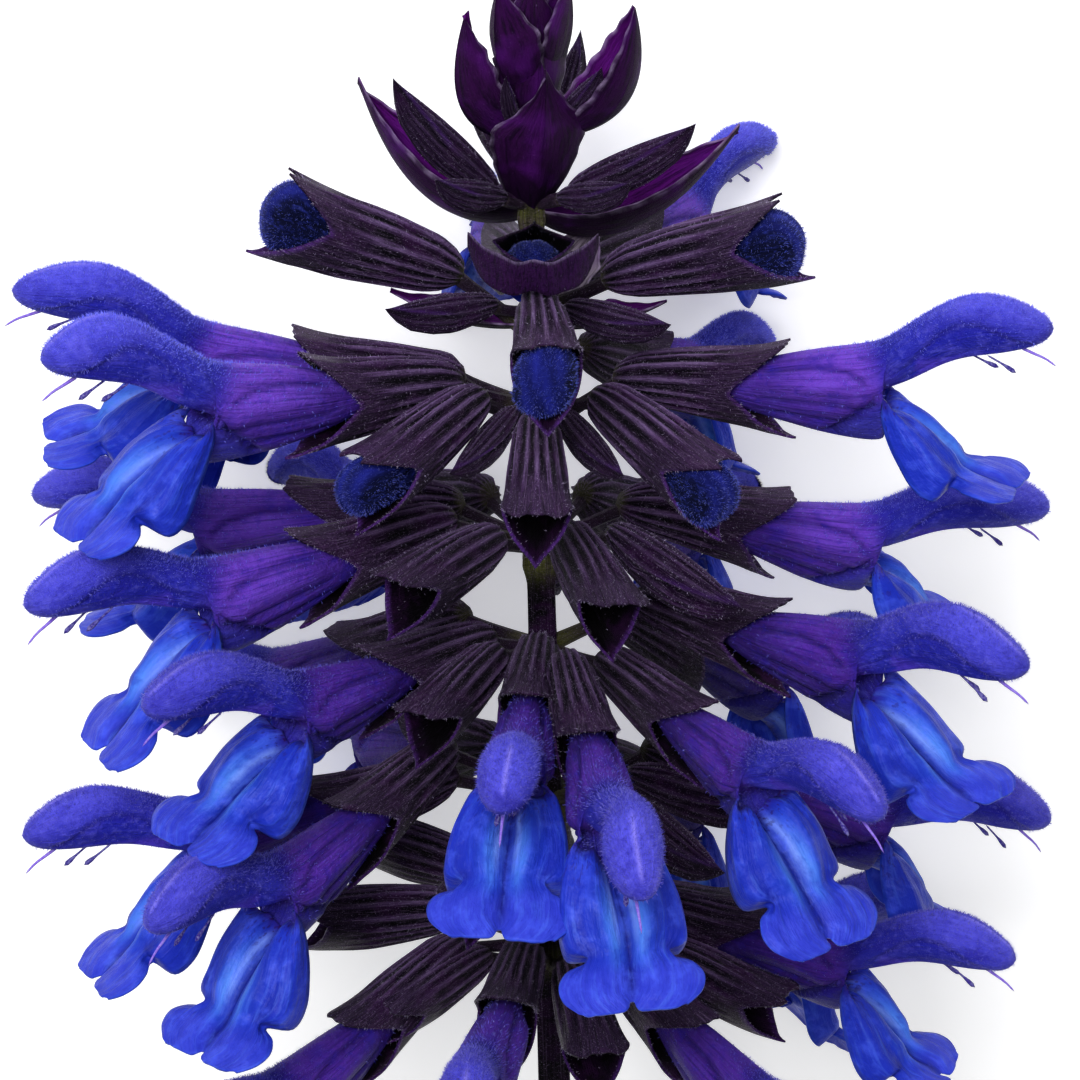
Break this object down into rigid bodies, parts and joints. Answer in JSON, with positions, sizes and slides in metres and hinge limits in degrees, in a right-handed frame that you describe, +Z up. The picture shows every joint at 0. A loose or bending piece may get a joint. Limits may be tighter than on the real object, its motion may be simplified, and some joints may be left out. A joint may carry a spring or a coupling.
{
  "type": "perennial salvia flower spike",
  "caption": "Cut flower spike of a perennial salvia lying on its side: whorls of blue two-lipped flowers in dark ribbed calyces on a square stem.",
  "frame": {"origin": "middle of the spike's box at the surface it lies on", "axes": "+Y along the stem from its cut end to the tip, +Z up from the surface, +X to the side"},
  "size_m": [0.0954, 0.141, 0.0891],
  "materials": {
    "stalk": "near-black purple calyces, bracts, pedicels and stem with raised ribs, fine hairs and a paler purple rim",
    "corolla": "soft petal: violet tube running to a velvety cobalt hood and a bright blue lower lip with pale throat streaks and dark veins",
    "bud": "velvety navy folded petal with short pale hairs"
  },
  "bodies": {
    "root": {"bud_w1_1": "bud", "bud_w2_1": "bud", "bud_w2_2": "bud", "bud_w2_3": "bud", "corolla_w2_1": "corolla", "corolla_w2_2": "corolla", "corolla_w3_1": "corolla", "corolla_w3_2": "corolla", "corolla_w3_3": "corolla", "bud_w3_1": "bud", "bud_w3_2": "bud", "corolla_w3_4": "corolla", "corolla_w3_5": "corolla", "corolla_w4_1": "corolla", "corolla_w4_2": "corolla", "corolla_w4_3": "corolla", "corolla_w4_4": "corolla", "corolla_w4_5": "corolla", "corolla_w5_1": "corolla", "corolla_w5_2": "corolla", "corolla_w5_3": "corolla", "corolla_w5_4": "corolla", "corolla_w5_5": "corolla", "corolla_w5_6": "corolla", "corolla_w5_7": "corolla", "corolla_w6_1": "corolla", "corolla_w6_2": "corolla", "corolla_w6_3": "corolla", "corolla_w6_4": "corolla", "corolla_w6_5": "corolla", "corolla_w7_1": "corolla", "corolla_w7_2": "corolla", "corolla_w7_3": "corolla", "corolla_w7_4": "corolla", "corolla_w7_5": "corolla", "flower_stalk": "stalk"}
  },
  "joints": []
}
